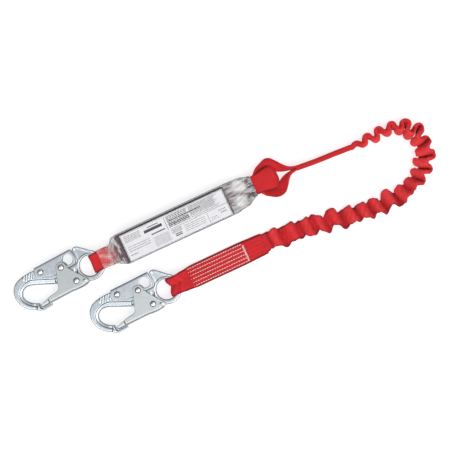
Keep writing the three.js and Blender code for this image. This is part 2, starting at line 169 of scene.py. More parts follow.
def web_material(name, colour, shade, edge, rib_mm, bead_mm):
    """Woven web: rows of beads along it by its own UV with painted shade in their grooves, painted shade
    along its edges over a darker selvedge, painted shade in the hollows of its folds, a painted highlight
    on their crests, and uneven dye.
    """
    material, where = new_material(name)
    tree = material.node_tree
    across, along, _ = source(tree, "UVMap", uv_map="weave").parts()
    row = across / (rib_mm * MM)
    bead = along / (bead_mm * MM) + row.floor() * 0.5
    beads = (bead * (2 * pi)).sine().remap(-1, 1)
    weave = abs((row * pi).sine()) * 0.62 + beads * 0.38
    fibres = where.noise(2600, 4, 0.65)
    dye = where.noise(55, 3, 0.6)
    body = dye.remap(0.35, 0.65).mix(colour, [c * 0.86 for c in colour])
    # painted shade: the grooves between the ribs and beads take the darker shade colour
    body = weave.remap(0.05, 0.75, 0.75, 0).mix(body, shade)
    # painted shade along the web's edges where they round away from the light, over a darker selvedge
    selvedge_and_edge_shade = source(tree, "Attribute", "Fac", attribute_name="from_edge") + fibres * (0.5 * MM)
    body = selvedge_and_edge_shade.remap(0.2 * MM, 1.7 * MM, 0.9, 0).mix(body, edge)
    # painted shade: the web is darkened in the hollows of its folds, more where they are deeper
    hollow = source(tree, "Attribute", "Fac", attribute_name="hollow") + (dye - 0.5) * (2 * MM)
    body = hollow.remap(0.4 * MM, 3.2 * MM, 0, 0.88).mix(body, [c * 0.35 for c in edge])
    # painted highlight: the crests of the folds are made lighter
    crest_highlight = [min(1, c * 1.25 + 0.03) for c in colour]
    return finished(
        material,
        Specular_IOR_Level=0.2,
        Sheen_Weight=0.08,
        Sheen_Roughness=0.45,
        Base_Color=hollow.remap(-0.4 * MM, -3.6 * MM, 0, 0.7).mix(body, crest_highlight),
        Roughness=fibres.remap(0.3, 0.7, 0.62, 0.85),
        Normal=(weave + fibres * 0.5).bump(0.55, 0.35 * MM),
    )


def zinc_material(name, tint, dull, rough, grain_turn):
    """Bright zinc plate on forged or pressed steel: fine grain, mottling and small scratches."""
    material, where = new_material(name)
    grain = where.stretched((500, 6500, 3500), grain_turn).noise(1, 3)
    mottle = where.noise(210, 4, 0.6)
    cells = where.into("TexVoronoi", {"Vector": where, "Scale": 420}, "Color")
    spangle = cells.parts("SeparateColor")[0]
    scratch = where.stretched((90, 5200, 900), grain_turn + 0.7).noise(1, 2).remap(0.66, 0.7)
    return finished(
        material,
        Metallic=0.92,
        Base_Color=(mottle * 0.8 + spangle * 0.2).remap(0.3, 0.7).mix(dull, tint),
        Roughness=mottle.remap(0.3, 0.7, rough + 0.08, rough - 0.05) + scratch * 0.12,
        Normal=(grain * 0.5 + mottle * 0.8 - scratch * 0.3).bump(0.05, 0.045 * MM),
    )


def chrome_material(name, tint, rough):
    material, where = new_material(name)
    smudge = where.noise(420, 4, 0.6)
    return finished(
        material,
        Metallic=1.0,
        Base_Color=smudge.remap(0.35, 0.7).mix(tint, [c * 0.8 for c in tint]),
        Roughness=smudge.remap(0.3, 0.7, rough, rough + 0.12),
        Normal=where.noise(3000, 2).bump(0.05, 0.05 * MM),
    )


def film_material():
    """Clear shrink film: nearly invisible over the label, milky and creased at its drawn-in ends.
    Painted shade darkens it on the pack's sides and in the creases at its right end, and a painted
    highlight makes it a pink-white veil where it wraps the loop at hook 1.
    """
    material, where = new_material("clear_film")
    x, y, _ = where.parts()
    left = x.remap(-0.0765, -0.083)
    right = x.remap(0.0755, 0.082)
    wrap = x.remap(-0.0925, -0.097)
    crease = where.stretched((90, 300, 220)).noise(1, 4, 0.55)
    pleat = where.stretched((300, 70, 90)).noise(1, 3, 0.5)
    soft = where.stretched((60, 110, 90), 0.5).noise(1, 1, 0.3)
    # painted shade: the film is more opaque and a darker grey where it faces sideways, on the rounded sides
    # of the pack
    upward = source(material.node_tree, "NewGeometry", "Normal").parts()[2]
    side = 1.0 - abs(upward)
    alpha = (side * 0.6 + 0.04).at_least(left * pleat.remap(0.46, 0.6, 0.06, 0.8))
    swirl = (where.noise(90, 2, 0.5) - 0.5) * 0.014
    ovals = []
    for cx, cy, rx, ry in ((0.0965, 0.0112, 0.0105, 0.0085), (0.0925, -0.0085, 0.0105, 0.0082)):
        u = (x + swirl - cx) / rx
        v = (y - swirl - cy) / ry
        ovals.append((u * u + v * v).root().remap(1.3, 0.62))
    ovals = ovals[0].at_least(ovals[1])
    milky = crease.remap(0.38, 0.6, 0.45, 0.75).at_least(ovals * 0.93)
    alpha = alpha.at_least(right * milky)
    # painted highlight: where the film wraps the loop at hook 1 it is a veil, thicker on the ridges of its
    # bump
    alpha = alpha + wrap * (soft.remap(0.45, 0.66, 0.07, 0.36) - alpha)
    # painted shade: at the right end the film is a darker grey in the valleys of its creases, and near black
    # in them at the mouth
    grey = crease.remap(0.4, 0.6).mix((0.24, 0.22, 0.23), (0.62, 0.6, 0.61))
    mouth = x.remap(0.102, 0.11, 0, 0.85) * crease.remap(0.44, 0.56, 1, 0)
    white = mouth.mix(ovals.mix(grey, (0.76, 0.75, 0.73)), (0.07, 0.06, 0.06))
    # painted shade: darker grey where the film faces sideways
    colour = side.remap(0.12, 0.6).mix((0.6, 0.59, 0.61), (0.2, 0.19, 0.2))
    colour = left.mix(colour, (0.68, 0.67, 0.66))
    # painted highlight: the wrap's veil is pink-white over the red web
    colour = wrap.mix(right.mix(colour, white), (1.0, 0.66, 0.63))
    height = crease + where.noise(45, 3, 0.5) * 0.6 + left * (pleat - crease)
    height = height + wrap * (soft - height)
    return finished(
        material,
        Roughness=0.16,
        IOR=1.5,
        Coat_Weight=0.5,
        Base_Color=colour,
        Alpha=alpha.at_most(0.95),
        Normal=height.bump(left.at_least(right).remap(0, 1, 0.12, 0.6), 0.8 * MM),
    )


def paper_material():
    material, where = new_material("label_paper")
    fibre = where.noise(2400)
    return finished(
        material,
        Base_Color=where.noise(40, 4, 0.6).remap(0.3, 0.7).mix((0.95, 0.95, 0.96), (0.9, 0.9, 0.92)),
        Roughness=fibre.remap(0.3, 0.7, 0.42, 0.6),
        Normal=fibre.bump(0.15, 0.05 * MM),
    )


def print_material(name, tone):
    """Printing ink, worn pale in places."""
    material, where = new_material(name)
    worn = where.noise(900, 3, 0.6)
    return finished(
        material,
        Base_Color=worn.remap(0.35, 0.7).mix((tone, tone, tone * 1.05), (min(0.9, tone * 1.6),) * 3),
        Roughness=worn.remap(0.3, 0.7, 0.45, 0.7),
    )


def thread_material(name, colour):
    """Twisted thread."""
    material, where = new_material(name)
    wave = {"Vector": where, "Scale": 900, "Distortion": 1.5}
    twist = where.into("TexWave", wave, 1, bands_direction="DIAGONAL")
    dirt = where.noise(300)
    body = dirt.remap(0.4, 0.7).mix(colour, [c * 0.78 for c in colour])
    return finished(
        material,
        Sheen_Weight=0.3,
        Base_Color=(twist * 0.25).mix(body, [c * 0.5 for c in colour]),
        Roughness=dirt.remap(0.3, 0.7, 0.5, 0.75),
        Normal=twist.bump(0.4, 0.1 * MM),
    )


BLACK = (0.01, 0.01, 0.01)
RED = web_material("red_web", (0.76, 0.028, 0.033), (0.45, 0.009, 0.016), (0.24, 0.005, 0.012), 1.5, 2.2)
DARK = web_material("tear_web", (0.105, 0.05, 0.07), (0.04, 0.018, 0.026), (0.03, 0.015, 0.02), 1.7, 2.4)
ELASTIC = web_material("elastic_black", (0.03, 0.03, 0.033), (0.01, 0.01, 0.011), BLACK, 1.1, 3.0)
FORGED = zinc_material("forged_zinc", (0.55, 0.595, 0.62), (0.49, 0.535, 0.56), 0.24, 0.4)
GATE = zinc_material("gate_zinc", (0.5, 0.53, 0.53), (0.44, 0.465, 0.46), 0.33, 1.1)
LEVER = zinc_material("lever_zinc", (0.55, 0.59, 0.625), (0.5, 0.54, 0.575), 0.24, 0.1)
CHROME = chrome_material("rivet_steel", (0.82, 0.83, 0.84), 0.1)
SPRING = chrome_material("spring_steel", (0.45, 0.46, 0.47), 0.24)
FILM = film_material()
PAPER = paper_material()
PRINTS = {
    name: print_material(f"print_{name}", tone)
    for name, tone in (("dark", 0.02), ("grey", 0.09), ("pale", 0.24), ("tint", 0.6))
}
THREAD = thread_material("white_thread", (0.9, 0.84, 0.78))


# -------- shapes


def unit(v):
    return v / np.linalg.norm(v, axis=-1, keepdims=True)


def eased(share):
    return share * share * (3 - 2 * share)


def rise(value, start, end):
    """0 before start and 1 after end."""
    return eased(np.clip((value - start) / (end - start), 0, 1))


def keyed(at, *pairs):
    """Values between (place, value) pairs, eased from one to the next."""
    places, values = np.array(pairs, float).T
    k = np.clip(np.searchsorted(places, at, side="right") - 1, 0, len(places) - 2)
    share = np.clip((at - places[k]) / (places[k + 1] - places[k]), 0, 1)
    return values[k] + (values[k + 1] - values[k]) * eased(share)


def run_of(line):
    """How far along the line each of its points is."""
    return np.concatenate([[0], np.cumsum(np.linalg.norm(np.diff(line, axis=0), axis=1))])


def tangents(line):
    return unit(np.gradient(line, axis=0))


def even_line(points, spacing):
    """An even run of points along straight stretches."""
    p = np.array(points, float)
    run = run_of(p)
    even = np.linspace(0, run[-1], max(3, round(run[-1] / spacing) + 1))
    return np.stack([np.interp(even, run, column) for column in p.T], axis=1)


def smooth_line(points, spacing):
    """An even run of points on a smooth curve through the given ones."""
    p = np.array(points, float)
    chord = run_of(p)
    slope = np.gradient(p, chord, axis=0)
    t = np.linspace(0, chord[-1], 24 * len(p))
    k = np.clip(np.searchsorted(chord, t, side="right") - 1, 0, len(p) - 2)
    h = (chord[k + 1] - chord[k])[:, None]
    a = (t - chord[k])[:, None] / h
    fine = (
        (2 * a**3 - 3 * a**2 + 1) * p[k]
        + (a**3 - 2 * a**2 + a) * h * slope[k]
        + (3 * a**2 - 2 * a**3) * p[k + 1]
        + (a**3 - a**2) * h * slope[k + 1]
    )
    return even_line(fine, spacing)


def averaging(reach):
    """Weights of an average over so many steps to each side."""
    weights = np.hanning(2 * reach + 3)[1:-1]
    return weights / weights.sum()


def add_object(name, verts_mm, faces, material, uv=None, smooth=True, slot=None, **lengths):
    """A mesh object from points in millimetres, with its faces turned outwards. Its slot has its
    material's name; the slot argument is not used. Each further argument is a length in millimetres
    at each point, kept as an attribute."""
    data = bpy.data.meshes.new(name)
    data.from_pydata((np.asarray(verts_mm) * MM).tolist(), [], faces)
    if uv is not None:
        corners = np.zeros(len(data.loops), np.int32)
        data.loops.foreach_get("vertex_index", corners)
        layer = data.uv_layers.new(name="weave")
        layer.data.foreach_set("uv", (uv[corners] * MM).astype(np.float32).ravel())
    for key, value in lengths.items():
        attribute = data.attributes.new(key, "FLOAT", "POINT")
        attribute.data.foreach_set("value", (value * MM).astype(np.float32))
    work = bmesh.new()
    work.from_mesh(data)
    bmesh.ops.recalc_face_normals(work, faces=work.faces)
    work.to_mesh(data)
    work.free()
    data.polygons.foreach_set("use_smooth", [smooth] * len(data.polygons))
    data.materials.append(material)
    made = bpy.data.objects.new(name, data)
    bpy.context.scene.collection.objects.link(made)
    return made


def web_ring(cols):
    """Once round a web's section: share across, how far out past that, and side."""
    share = np.linspace(-1, 1, cols)
    turns = np.radians(np.linspace(90, -90, 9)[1:-1])
    top = [(s, 0, 1) for s in share]
    right = [(1, cos(a), sin(a)) for a in turns]
    bottom = [(s, 0, -1) for s in share[::-1]]
    left = [(-1, -cos(a), -sin(a)) for a in turns]
    return np.array(top + right + bottom + left).T


def tube_faces(rings, around, first=0):
    faces = []
    for i in range(rings - 1):
        for j in range(around):
            k = (j + 1) % around
            a = first + i * around
            b = a + around
            faces.append((a + j, a + k, b + k, b + j))
    return faces


def hollows(surface, outward, reach):
    """How far each point of a rippled surface lies below the surface averaged along it."""
    padded = np.pad(surface, ((reach, reach), (0, 0), (0, 0)), mode="edge")
    average = sum(w * padded[i : i + len(surface)] for i, w in enumerate(averaging(reach)))
    return ((average - surface) * outward).sum(axis=-1)


def ribbon(name, line, across, half_w, half_t, material, cols, push=None, wall=0.0, hide_edge=0.0):
    """A web along a line, in millimetres: round-edged, solid or, with a wall, tubular.
    A measure that varies along it is a column, with a row for each point of the line.
    push(share) gives how far its middle surface is moved at each point and share across.
    hide_edge pushes the dark selvedge and the painted shade along the edges off the web by so many
    millimetres."""
    count = len(line)
    share, out, side = web_ring(cols)
    across = np.broadcast_to(across, line.shape)
    half_w, half_t, hidden = (np.broadcast_to(v, (count, 1)) for v in (half_w, half_t, hide_edge))

    def middle(at):
        flat = ((half_w - half_t) * at)[..., None] * across[:, None]
        return line[:, None] + flat + (0 if push is None else push(at))

    nudge = 0.01
    surface = middle(share)
    sideways = unit(middle(share + nudge) - middle(share - nudge))
    normal = unit(np.cross(np.gradient(surface, axis=0), sideways))
    loops = []
    for inset in (0.0, wall) if wall else (0.0,):
        offset = ((half_t - inset) * side)[..., None] * normal
        offset = offset + ((half_t - inset) * out)[..., None] * sideways
        loops.append((surface + offset).reshape(-1, 3))
        if not inset:
            reach = max(2, round(HOLLOW_REACH * count / run_of(line)[-1]))
            hollow = hollows(surface + offset, unit(offset), reach)
    around = len(share)
    faces = tube_faces(count, around)
    last = (count - 1) * around
    if wall:
        inner = count * around
        faces += tube_faces(count, around, inner)
        for start in (0, last):
            for j in range(around):
                a, b = start + j, start + (j + 1) % around
                faces.append((a, b, inner + b, inner + a))
    else:
        faces += [tuple(range(first, first + around)) for first in (0, last)]
    flat = (half_w - half_t) * share
    along = np.broadcast_to(run_of(line)[:, None], flat.shape)
    uv = np.stack([flat + half_t * out, along], axis=-1).reshape(-1, 2)
    edge = ((half_w - half_t) * (1 - np.abs(share)) + hidden).reshape(-1)
    copies = len(loops)
    uv, edge, hollow = np.tile(uv, (copies, 1)), np.tile(edge, copies), np.tile(hollow.reshape(-1), copies)
    return add_object(name, np.concatenate(loops), faces, material, uv, from_edge=edge, hollow=hollow)


def side_line(points, y, spacing=1.0):
    """A smooth line at one y through points in X and Z."""
    return smooth_line([(x, y, z) for x, z in points], spacing)


def bight(centre, radius, side, steps=8):
    """A half turn in X and Z from above the centre to below it, by way of the given side."""
    x, z = centre
    turns = [pi * (0.5 - side * i / steps) for i in range(steps + 1)]
    return [(x + radius * cos(t), z + radius * sin(t)) for t in turns]


def stand_for(piece, *nodes, body="lanyard"):
    """Carries a piece on a body, in the place of the CAD nodes that it shows in full."""
    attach(piece, body)
    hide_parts(*nodes)


# -------- the free leg

EDGE_ROUTE = [
    (178, 0.3, 13.7), (186, -0.3, 12.6), (200, -1.2, 9.6), (216, -2.0, 7.6), (235, -2.9, 7.2),
    (255, -4.2, 7.6),
]
OUTER_ROUTE = [
    (272.4, -4.7, 9.3), (286, -3.9, 9.3), (304, -3.2, 9.3), (320, -5.0, 9.3), (333, -10.4, 9.3),
    (341.5, -20.5, 9.3), (345, -33, 9.3), (344.5, -47, 9.3), (339.5, -61, 9.3), (329, -73, 9.3),
    (314, -82, 9.3), (298, -87.6, 9.3), (286, -89.9, 9.3),
]
RETURN_ROUTE = [
    (274, -90.55, 7.4), (260, -90.6, 7.4), (244, -89.6, 7.4), (226, -87.4, 7.4), (208, -84.6, 7.4),
    (190, -81.4, 7.4), (170, -78, 7.4), (150, -75.4, 7.4), (130, -73.6, 7.4), (112, -72.8, 6.2),
    (96.4, -72.4, 5.2),
]
END = 463  # mm along the leg's line, just before the terminal


def folds(phase, steep):
    """A meander of unit wavelength / 2 pi: how far out and along it lies, for its steepest angle.
    It is the Fourier series of a sine-generated curve, whose Bessel functions are j0 to j3."""
    w = steep
    j0 = 1 - w**2 / 4 + w**4 / 64 - w**6 / 2304
    j1 = w / 2 - w**3 / 16 + w**5 / 384 - w**7 / 18432
    j2 = w**2 / 8 - w**4 / 96 + w**6 / 3072
    j3 = w**3 / 48 - w**5 / 768
    out = -2 / j0 * (j1 * np.cos(phase) + j3 / 3 * np.cos(3 * phase))
    return out, j2 / j0 * np.sin(2 * phase)


def add_leg():
    """The leg's web: on edge from the choke, then gathered into folds round its elastic core."""
    line = smooth_line(EDGE_ROUTE + OUTER_ROUTE + RETURN_ROUTE, 0.7)
    run = run_of(line)
    at = run[:, None]
    along = tangents(line)
    left = unit(np.cross(UP, along))
    line = line + left * keyed(
        at, (0, -0.3), (40, -0.9), (90, -1.0), (190, -0.8), (215, -0.8), (250, 0.4), (290, 1.2), (340, 1.4),
        (440, 1.0), (END, 0.5),
    )
    wobble = 7 * np.sin(at / 12.0) * keyed(at, (0, 0), (110, 0), (170, 1), (350, 1), (440, 0))
    roll = keyed(
        at, (0, 90), (88, 88), (110, 82), (140, 78), (165, 66), (190, 50), (250, 44), (290, 30), (330, 20),
        (420, 9), (END, 0),
    )
    roll = np.radians(roll + wobble)
    across = np.cos(roll) * left + np.sin(roll) * UP
    normal = np.cross(along, across)
    half_w = keyed(
        at, (0, 6.4), (70, 6.4), (98, 8.0), (130, 9.5), (170, 12), (205, 13.5), (270, 13.4), (310, 13.4),
        (445, 14.1), (END, 12.9),
    )
    steep = keyed(
        at, (0, 0), (76, 0), (92, 1.1), (110, 1.36), (190, 1.45), (275, 1.35), (310, 1.15), (360, 1.1),
        (450, 1.1), (457, 0.9), (END, 0),
    )
    steep = steep * (1 + 0.12 * np.sin(at / 23.0) + 0.1 * np.sin(at / 9.1 + 2))
    length = keyed(at, (0, 17.5), (110, 17.5), (180, 17.5), (230, 17), (290, 18), (350, 20), (END, 23))
    scale = length / (2 * pi)
    turn = np.cumsum(np.gradient(run)[:, None] / scale, axis=0)
    turn = turn - np.interp(105, run, turn[:, 0])
    restless = keyed(at, (0, 0), (160, 0), (200, 1), (END, 1))
    turn = turn + 0.35 * np.sin(at / 31.0) + 0.3 * np.sin(at / 13.0 + 1) * restless
    half_t = keyed(at, (0, 3.6), (76, 3.6), (92, 3.8), (150, 3.9), (200, 2.4), (440, 1.9), (END, 1.35))
    half_t = half_t * (1 + 0.26 * np.cos(2 * turn) * keyed(at, (0, 0), (90, 0), (112, 1), (165, 1), (200, 0)))
    uneven = keyed(at, (0, 0), (150, 0), (190, 1), (330, 1), (452, 0.9), (END, 0))
    sway = keyed(at, (0, 0), (120, 0), (200, 0.8), (290, 2.2), (400, 2.5), (445, 1.3), (END, 0))
    slant = keyed(at, (0, 0.1), (130, 0.25), (200, 0.7), (290, 0.5), (350, 0.9), (END, 0.5))
    nip = keyed(at, (0, 0), (100, 0), (190, 1.6), (290, 3.8), (340, 4.8), (420, 4.6), (452, 2.2), (END, 0))
    alternate = keyed(at, (0, 0), (260, 0), (330, 0.7), (END, 0.7))
    skew = keyed(at, (0, -0.3), (160, -0.3), (220, -0.15), (END, 0.2))
    flatten = keyed(at, (0, 1), (90, 1), (140, 0.85), (END, 0.85))
    pinch_low = 2.2 * np.exp(-(((at - 460) / 1.8) ** 2))
    pinch_high = 1.4 * np.exp(-(((at - 453) / 2.2) ** 2))

    def push(share):
        phase = turn + slant * share + 0.3 * share**2
        phase = phase + skew * np.sin(phase - pi / 2)
        out, ahead = folds(phase, steep)
        small = 0.45 * np.sin(2.7 * turn + 2.6 * share + 1.0) * (steep / 1.5)
        small = small + 0.3 * np.sin(4.3 * turn - 3.7 * share) * (uneven * steep)
        gather = -nip * (0.5 + 0.5 * np.cos(phase + 0.3 + alternate * share)) ** 4 * share
        scallop = 0.09 * np.cos(phase - 0.5) + 0.08 * np.cos(0.5 * turn + 1.2 * np.sign(share))
        gather = gather + (half_w * uneven) * scallop * share + sway * np.sin(phase * 0.73 + 0.8)
        gather = gather - pinch_low * np.clip(share, 0, 1) + pinch_high * np.clip(-share, 0, 1)
        shift = (scale * out + small)[..., None] * normal[:, None] + gather[..., None] * across[:, None]
        shift = shift + (scale * ahead)[..., None] * along[:, None]
        flat = (half_w * share)[..., None] * across[:, None]
        squeeze = (flatten - 1) * (shift + flat)[..., 2]
        return shift + squeeze[..., None] * UP

    share = np.linspace(-1, 1, 15)
    shape = (half_w * share)[..., None] * across[:, None] + push(share)
    low = (half_t * np.abs(np.cos(roll)))[:, 0] - shape[..., 2].min(axis=1)
    reach = 13
    padded = np.pad(low, reach, mode="edge")
    low = np.array([padded[i : i + 2 * reach + 1].max() for i in range(len(low))])
    low = np.convolve(np.pad(low, reach, mode="edge"), averaging(reach), mode="valid")
    resting = keyed(at, (0, 0), (60, 0), (100, 1), (435, 1), (END, 0))
    height = line[:, 2:] * (1 - resting) + (low[:, None] + FLOOR_GAP) * resting
    line = np.hstack([line[:, :2], height])
    # keeps the painted edge shade off the leg where its web stands on edge
    on_edge = 9 * rise(np.abs(np.sin(roll)), 0.45, 0.8)
    web = ribbon("leg_web", line, across, half_w, half_t, RED, 22, push, 0.9, on_edge)
    part = slice(*np.searchsorted(run, (92, 459)))
    narrow = 0.4

    def core_push(share):
        return push(share * narrow)[part]

    core_w = (half_w * narrow)[part]
    core = ribbon("leg_elastic", line[part], across[part], core_w, 0.35, ELASTIC, 8, core_push)
    stand_for(web, "leg_edge_web", "stretch_web_outer", "stretch_web_return")
    stand_for(core, "elastic_core")
    (line * MM).tolist()


add_leg()


# -------- floor and light


def add_floor():
    data = bpy.data.meshes.new("floor")
    half = 15.0
    corners = [(-half, -half, 0), (half, -half, 0), (half, half, 0), (-half, half, 0)]
    data.from_pydata(corners, [], [(0, 1, 2, 3)])
    material, where = new_material("floor")
    colour = where.noise(3, 2).remap(0.3, 0.7).mix((0.5, 0.5, 0.5), (0.485, 0.485, 0.49))
    shine = {"Roughness": 0.85, "Specular_IOR_Level": 0.1, "Emission_Strength": 1.36}
    data.materials.append(finished(material, Base_Color=colour, Emission_Color=colour, **shine))
    floor = bpy.data.objects.new("floor", data)
    bpy.context.scene.collection.objects.link(floor)


def add_studio():
    """A sky that is brightest part of the way up and dimmer on one side, and two soft lamps."""
    world = bpy.data.worlds.new("studio")
    bpy.context.scene.world = world
    world.use_nodes = True
    tree = world.node_tree
    ray = source(tree, "TexCoord", "Generated")
    ramp = new_node(tree, "ValToRGB", {0: ray.parts()[2]})
    stops = ramp.color_ramp.elements
    stops[0].position, stops[0].color = 0.0, (0.1, 0.103, 0.11, 1)
    stops[1].position, stops[1].color = 1.0, (0.72, 0.73, 0.77, 1)
    for position, tone in ((0.45, 0.1), (0.6, 0.5), (0.74, 1.1), (0.9, 1.05)):
        stops.new(position).color = (tone, tone, tone * 1.02, 1)
    away = ray.into("VectorMath", {0: ray, 1: (-0.34, 0.94, 0.0)}, "Value", operation="DOT_PRODUCT")
    sky = away.remap(0.1, 0.6, 1.0, 0.3).mix((0.05, 0.05, 0.055), Wire(ramp.outputs[0]))
    fill(tree.nodes["Background"].inputs["Color"], sky)
    for name, place, size, energy in (
        ("key", (0.42, -0.6, 1.35), 1.4, 9),
        ("fill", (-0.8, -0.4, 1.3), 0.9, 3.2),
    ):
        light = bpy.data.lights.new(name, "AREA")
        light.shape = "DISK"
        light.size = size
        light.energy = energy
        lamp = bpy.data.objects.new(name, light)
        lamp.location = place
        aim = Vector((0.06, -0.03, 0)) - lamp.location
        lamp.rotation_euler = aim.to_track_quat("-Z", "Y").to_euler()
        bpy.context.scene.collection.objects.link(lamp)
    bpy.context.scene.view_settings.view_transform = "Standard"


add_floor()
add_studio()


# -------- webs of the pack and the leg's ends

HOOK_MID_Z = 12.5
LOOP_Z = 13.7  # middle plane of the loops sewn into the pack
TERMINAL_Y = -73.1


def add_choke():
    """The leg's own loop, standing on edge and leaning outwards, through the pack's loop."""
    route = [
        (180, 1.75, 13.7), (172, 3.0, 13.7), (164.5, 6.2, 13.6), (157, 11.3, 13.4), (151, 17.8, 13.3),
        (145.8, 22.9, 13.3), (138.6, 20.9, 13.3), (130.6, 17.6, 13.4), (123.8, 13.9, 13.6),
        (120.2, 8.4, 13.7), (119.6, 1.8, 13.7), (120.6, -4.4, 13.7), (126.5, -8.8, 13.6),
        (134.6, -14.4, 13.4), (142.4, -18.4, 13.3), (148.4, -17.4, 13.3), (153.4, -12.2, 13.3),
        (158.2, -7.6, 13.4), (164.5, -3.5, 13.6), (171.5, -1.6, 13.7), (180, -1.15, 13.7),
    ]
    line = smooth_line(route, 1.0)
    run = run_of(line)
    at = (run / run[-1])[:, None]
    inward = unit(np.cross(UP, tangents(line)))
    lean = keyed(
        at, (0, 90), (0.06, 98), (0.2, 150), (0.36, 148), (0.45, 102), (0.54, 98), (0.64, 146), (0.8, 150),
        (0.94, 98), (1, 90),
    )
    lean = np.radians(lean)
    across = np.cos(lean) * inward + np.sin(lean) * UP
    half_t = keyed(at, (0, 1.6), (0.1, 2.0), (0.9, 2.0), (1, 1.6))
    half_w = keyed(
        at, (0, 6.4), (0.1, 6.8), (0.25, 7.5), (0.4, 7.2), (0.5, 6.7), (0.6, 7.4), (0.75, 7.5),
        (0.9, 6.8), (1, 6.4)
    )
    # keeps the painted edge shade off the loop where it stands on edge
    lying = 0.9 + 9 * rise(np.abs(np.sin(lean)), 0.6, 0.9)
    web = ribbon("choke_web", line, across, half_w, half_t, RED, 10, hide_edge=lying)
    stand_for(web, "choke_loop")


def add_leg_end_loop():
    """The pack's flat loop at the leg: its plies open round the choke."""
    z = LOOP_Z
    upper = [(6, z + 1.25), (60, z + 1.25), (98, z + 1.4), (108, z + 4.6), (118, z + 8.3), (130, z + 8.9)]
    lower = [(x, 2 * z - y) for x, y in reversed(upper)]
    line = side_line(upper + bight((142, z), 8.8, 1) + lower, 3.0)
    x = line[:, :1]
    half_w = keyed(x, (0, 12.4), (112, 12.4), (122, 13.4), (148, 16.0), (152, 16.0))
    nose = keyed(x, (0, 0), (124, 0), (151, 1), (152, 1))
    crown = keyed(x, (0, 0), (108, 0), (130, 1), (146, 1), (152, 0.3)) * np.sign(line[:, 2:] - z)

    def push(share):
        back = -6.5 * nose * np.abs(share) ** 3
        lift = -1.5 * crown * np.abs(share) ** 2.5
        return back[..., None] * TO_X + lift[..., None] * UP

    web = ribbon("leg_end_loop_web", line, TO_Y, half_w, 1.1, RED, 22, push)
    stand_for(web, "leg_end_loop")


def bend_with_hook_1(piece):
    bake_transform(piece)


def add_hook_end_loop():
    """The pack's loop round the eye of hook 1, and the film that wraps the start of its plies."""
    z, mid = LOOP_Z, HOOK_MID_Z
    upper = [(-6, z + 1.25), (-40, z + 1.25), (-84, z + 1.3), (-94, z + 2.6), (-105, mid + 6.7)]
    lower = [(-105, mid - 6.7), (-94, z - 2.8), (-84, z - 1.3), (-40, z - 1.25), (-6, z - 1.25)]
    line = side_line(upper + bight((-116.4, mid), 6.95, -1) + lower, -1.1)
    out = -line[:, :1]
    half_w = keyed(out, (0, 12.4), (92, 12.6), (100, 13.4), (108, 13.2), (116, 12.6), (124, 12.6))
    aside = keyed(out, (0, 0), (92, 0), (102, 1.0), (108, 0.9), (118, 0), (124, 0))
    dip = keyed(out, (0, 0), (100, 0), (112, 1), (124, 1))

    def push(share):
        ripple = 0.35 * np.sin(3.2 * share + 0.6)
        return (dip * ripple)[..., None] * TO_X + aside[..., None] * TO_Y

    web = ribbon("hook_end_loop_web", line, TO_Y, half_w, 1.1, RED, 18, push)
    bend_with_hook_1(web)
    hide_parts("hook_end_loop")
    count = len(out)
    start, stop = np.searchsorted(out[: count // 2, 0], (95.0, 110.5))
    for name, part in (("upper", slice(start, stop)), ("lower", slice(count - stop, count - start))):
        skin = ribbon(
            f"film_wrap_{name}", line[part], TO_Y, half_w[part] + 0.35, 1.45, FILM, 18,
            lambda share, part=part: push(share)[part], 0.2, 9,
        )
        bend_with_hook_1(skin)


def add_terminal():
    """The leg's end, folded round the eye of hook 2 and sewn flat.
    Gives the places along its upper side in X, and its height there."""
    mid = HOOK_MID_Z
    upper = [(97.5, 5.1), (84, 4.7), (70, 4.5), (40, 4.5), (8, 4.5), (-6, 8.5), (-25, mid + 7.1)]
    lower = [(-25, mid - 7.1), (-8, 1.6), (10, 1.6), (40, 1.6), (77, 1.6)]
    line = side_line(upper + bight((-36.4, mid), 7.2, -1) + lower, TERMINAL_Y)
    x = line[:, :1]
    half_w = keyed(x, (-44, 12.8), (-30, 12.8), (-20, 14.0), (-4, 15.6), (60, 15.8), (88, 15.1), (98, 14.5))
    crease = keyed(x, (-44, 1), (-34, 0.85), (-16, 0), (98, 0))
    pulled = keyed(x, (-44, 0), (-38, 0), (-32, 1), (-18, 0.8), (-6, 0), (98, 0))
    above = np.where(line[:, 2:] > keyed(x, (-44, mid), (-6, 6), (98, 3)), 1.0, -1.0)

    def push(share):
        vee = np.clip(1 - np.abs(share - 0.06) / 0.75, 0, 1) ** 1.3
        back = 4.6 * crease * vee
        valley = -3.2 * crease * above * vee**2
        pillow = 0.22 * np.cos(share * 5.2 * pi) * ((x > 0) & (above > 0) & (np.abs(share) < 0.95))
        gathers = 0.75 * pulled * above * np.sin(x / 2.3 + 1.9 * np.abs(share - 0.1) + 0.8 * share)
        return back[..., None] * TO_X + (valley + pillow + gathers)[..., None] * UP

    web = ribbon("terminal_web_folded", line, TO_Y, half_w, 1.3, RED, 40, push)
    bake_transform(web)
    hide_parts("terminal_web")
    side = line[above[:, 0] > 0]
    return side[np.argsort(side[:, 0])][:, ::2] + (0, 1.3)


def pill(length, width, height, rings=5, sides=8):
    """The points and faces of one rounded stitch, lying along X."""
    verts = [(-length / 2, 0, 0)]
    for k in range(1, rings + 1):
        a = pi * k / (rings + 1)
        r = sin(a) ** 0.6
        for j in range(sides):
            b = 2 * pi * j / sides
            verts.append((-length / 2 * cos(a), width / 2 * r * cos(b), height / 2 * r * sin(b)))
    verts.append((length / 2, 0, 0))
    last = len(verts) - 1
    faces = tube_faces(rings, sides, 1)
    for j in range(sides):
        k = (j + 1) % sides
        faces.append((0, 1 + k, 1 + j))
        faces.append((last, last - sides + j, last - sides + k))
    return np.array(verts), faces


